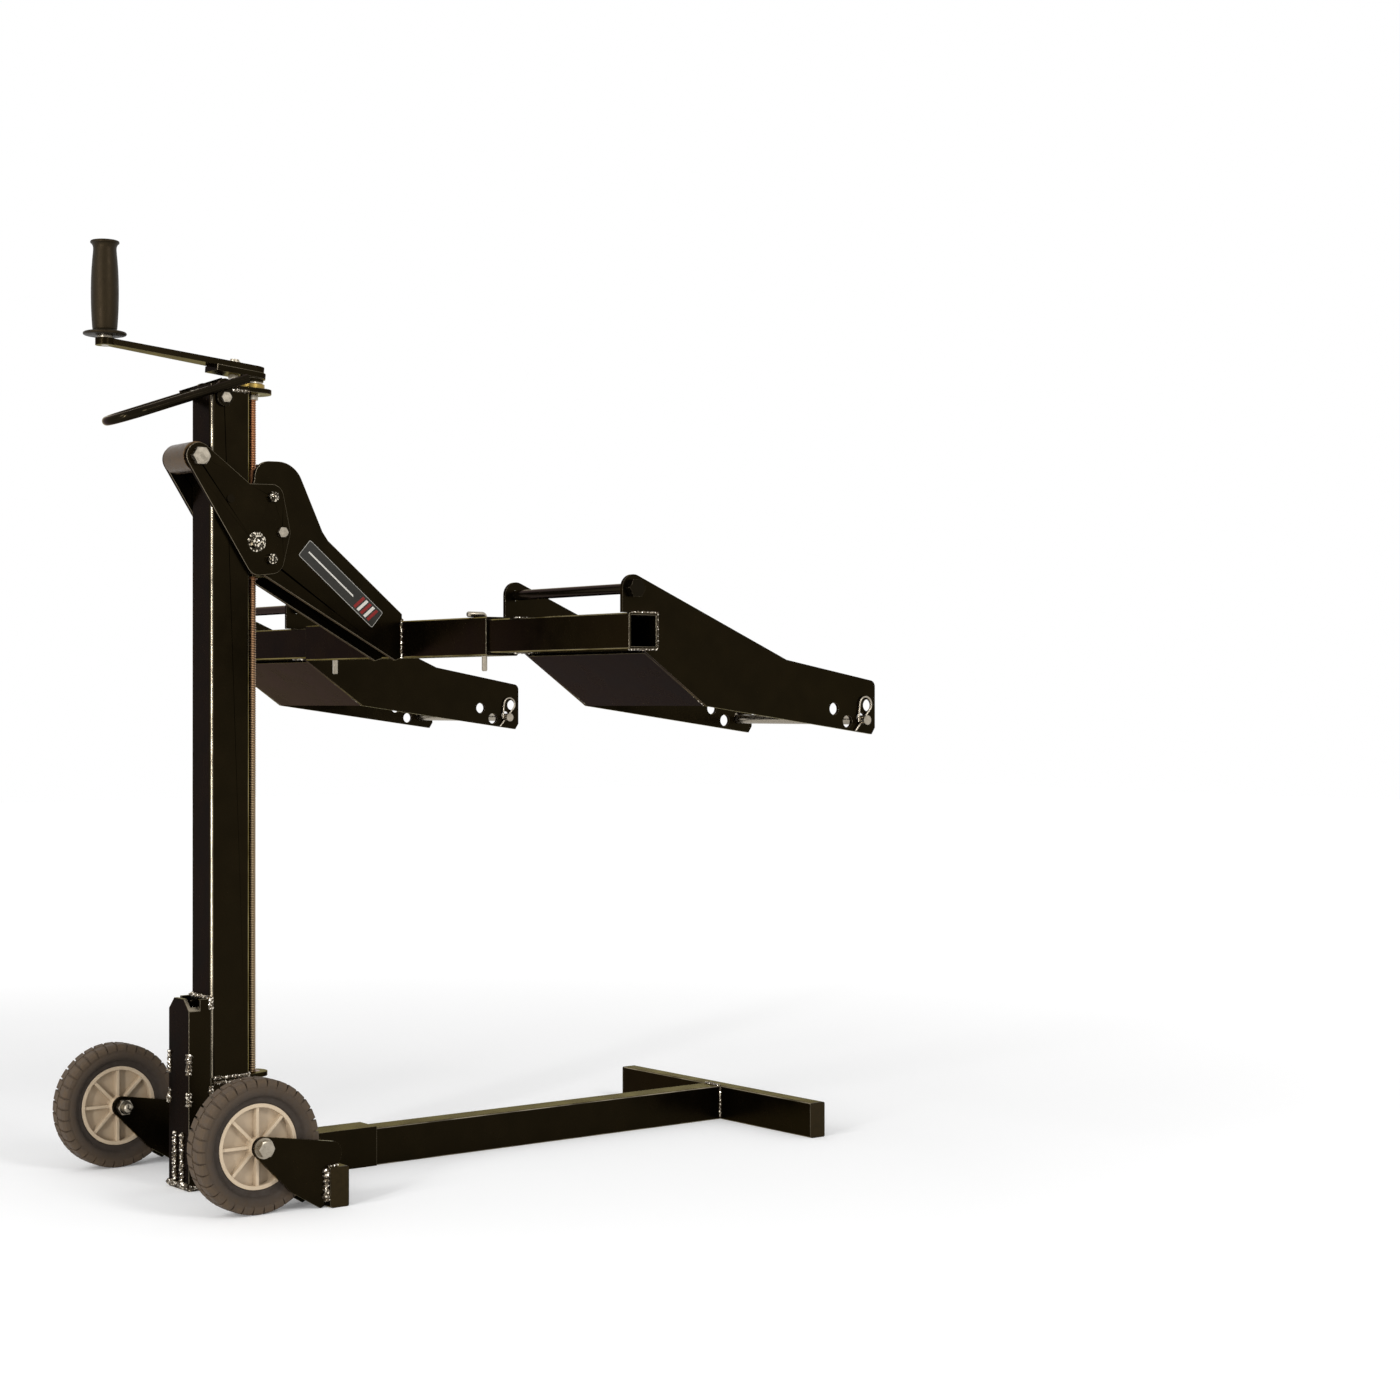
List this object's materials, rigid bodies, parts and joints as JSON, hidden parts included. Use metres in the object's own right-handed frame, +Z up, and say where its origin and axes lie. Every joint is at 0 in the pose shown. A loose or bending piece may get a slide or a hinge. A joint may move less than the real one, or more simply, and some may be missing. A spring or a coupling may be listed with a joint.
{
  "type": "lawn mower lift jack",
  "caption": "Screw jack on a wheeled T base: a crank raises a carriage whose arm and cross tube hold sliding wheel pans for a ride-on mower.",
  "frame": {"origin": "on the floor under the middle of the post", "axes": "+X along the floor leg towards the mower, +Y to the left, +Z up"},
  "size_m": [1.0465, 1.1128, 1.2234],
  "materials": {
    "black_steel": "gloss black powder coat on steel",
    "zinc_steel": "bright zinc plate",
    "screw_steel": "oiled copper toned rolled thread",
    "bronze_bush": "turned bronze",
    "brass_bearing": "yellow passivated zinc",
    "tyre_rubber": "moulded solid rubber",
    "hub_plastic": "grey moulded polypropylene",
    "grip_rubber": "black moulded grip",
    "pad_nylon": "natural nylon"
  },
  "bodies": {
    "base": {"base_crossbar": "black_steel", "crossbar_caps": "black_steel", "base_column": "black_steel", "base_foot": "black_steel", "ledge_plate": "black_steel", "leg_saddle": "black_steel", "leg_clamp_bolt": "zinc_steel", "post_tube": "black_steel", "top_plate": "black_steel", "thrust_bearing": "brass_bearing", "foot_bearing": "bronze_bush", "handle_loop": "black_steel", "handle_bolt": "zinc_steel", "left_wheel_fork": "black_steel", "right_wheel_fork": "black_steel", "axle_bolts": "zinc_steel", "axle_nuts": "zinc_steel"},
    "leg": {"leg_tube": "black_steel", "front_tee": "black_steel", "tee_caps": "black_steel"},
    "left_wheel": {"left_tyre": "tyre_rubber", "left_hub": "hub_plastic"},
    "right_wheel": {"right_tyre": "tyre_rubber", "right_hub": "hub_plastic"},
    "screw": {"lead_screw": "screw_steel", "screw_nuts": "zinc_steel", "crank_hub": "black_steel", "crank_arm": "black_steel", "crank_bolt": "zinc_steel", "grip_pin": "zinc_steel"},
    "grip": {"crank_grip": "grip_rubber"},
    "carriage": {"left_carriage_plate": "black_steel", "right_carriage_plate": "black_steel", "side_pads": "pad_nylon", "roller_bolt": "zinc_steel", "guide_bolt": "zinc_steel", "lift_nut": "bronze_bush", "nut_bridge": "black_steel", "arm_bolts": "zinc_steel", "left_arm_plate": "black_steel", "right_arm_plate": "black_steel", "arm_web": "black_steel", "lift_tube": "black_steel"},
    "roller": {"rear_roller": "zinc_steel"},
    "left_pan": {"left_pan_tube": "black_steel", "left_pan_inner_plate": "black_steel", "left_pan_outer_plate": "black_steel", "left_pan_ramp": "black_steel", "left_strap_rod": "black_steel"},
    "left_hitch": {"left_hitch_pin": "zinc_steel"},
    "left_stop": {"left_stop_pin": "zinc_steel"},
    "right_pan": {"right_pan_tube": "black_steel", "right_pan_inner_plate": "black_steel", "right_pan_outer_plate": "black_steel", "right_pan_ramp": "black_steel", "right_strap_rod": "black_steel"},
    "right_hitch": {"right_hitch_pin": "zinc_steel"},
    "right_stop": {"right_stop_pin": "zinc_steel"}
  },
  "joints": [
    {"name": "crank_turn", "type": "hinge", "parent": "base", "child": "screw", "pos_m": [0.0454, 0, 1.0534], "axis": [0, 0, 1], "range_deg": [-3240, 64800]},
    {"name": "carriage_lift", "type": "slide", "parent": "base", "child": "carriage", "axis": [0, 0, 1], "range_m": [-0.5716, 0.0287]},
    {"name": "roller_spin", "type": "hinge", "parent": "carriage", "child": "roller", "pos_m": [-0.0487, 0, 0.953], "axis": [0, 1, 0], "continuous": true},
    {"name": "grip_spin", "type": "hinge", "parent": "screw", "child": "grip", "pos_m": [-0.1636, 0, 1.15], "axis": [0, 0, 1], "continuous": true},
    {"name": "left_wheel_spin", "type": "hinge", "parent": "base", "child": "left_wheel", "pos_m": [-0.057, 0.199, 0.084], "axis": [0, 1, 0], "continuous": true},
    {"name": "right_wheel_spin", "type": "hinge", "parent": "base", "child": "right_wheel", "pos_m": [-0.057, -0.199, 0.084], "axis": [0, 1, 0], "continuous": true},
    {"name": "leg_slide", "type": "slide", "parent": "base", "child": "leg", "axis": [1, 0, 0], "range_m": [0, 0.12]},
    {"name": "left_pan_slide", "type": "slide", "parent": "carriage", "child": "left_pan", "axis": [0, 1, 0], "range_m": [-0.0477, 0.1]},
    {"name": "left_hitch_pull", "type": "slide", "parent": "carriage", "child": "left_hitch", "axis": [0, 0, 1], "range_m": [0, 0.085]},
    {"name": "left_stop_spin", "type": "hinge", "parent": "left_pan", "child": "left_stop", "pos_m": [0.64296, 0.4165, 0.61075], "axis": [0, 1, 0], "continuous": true},
    {"name": "right_pan_slide", "type": "slide", "parent": "carriage", "child": "right_pan", "axis": [0, -1, 0], "range_m": [-0.0477, 0.1]},
    {"name": "right_hitch_pull", "type": "slide", "parent": "carriage", "child": "right_hitch", "axis": [0, 0, 1], "range_m": [0, 0.085]},
    {"name": "right_stop_spin", "type": "hinge", "parent": "right_pan", "child": "right_stop", "pos_m": [0.64296, -0.4165, 0.61075], "axis": [0, 1, 0], "continuous": true}
  ],
  "couplings": [
    {"joint": "carriage_lift", "follows": "crank_turn", "m_per_rad": -0.00050532},
    {"joint": "roller_spin", "follows": "crank_turn", "ratio": -0.025521}
  ]
}
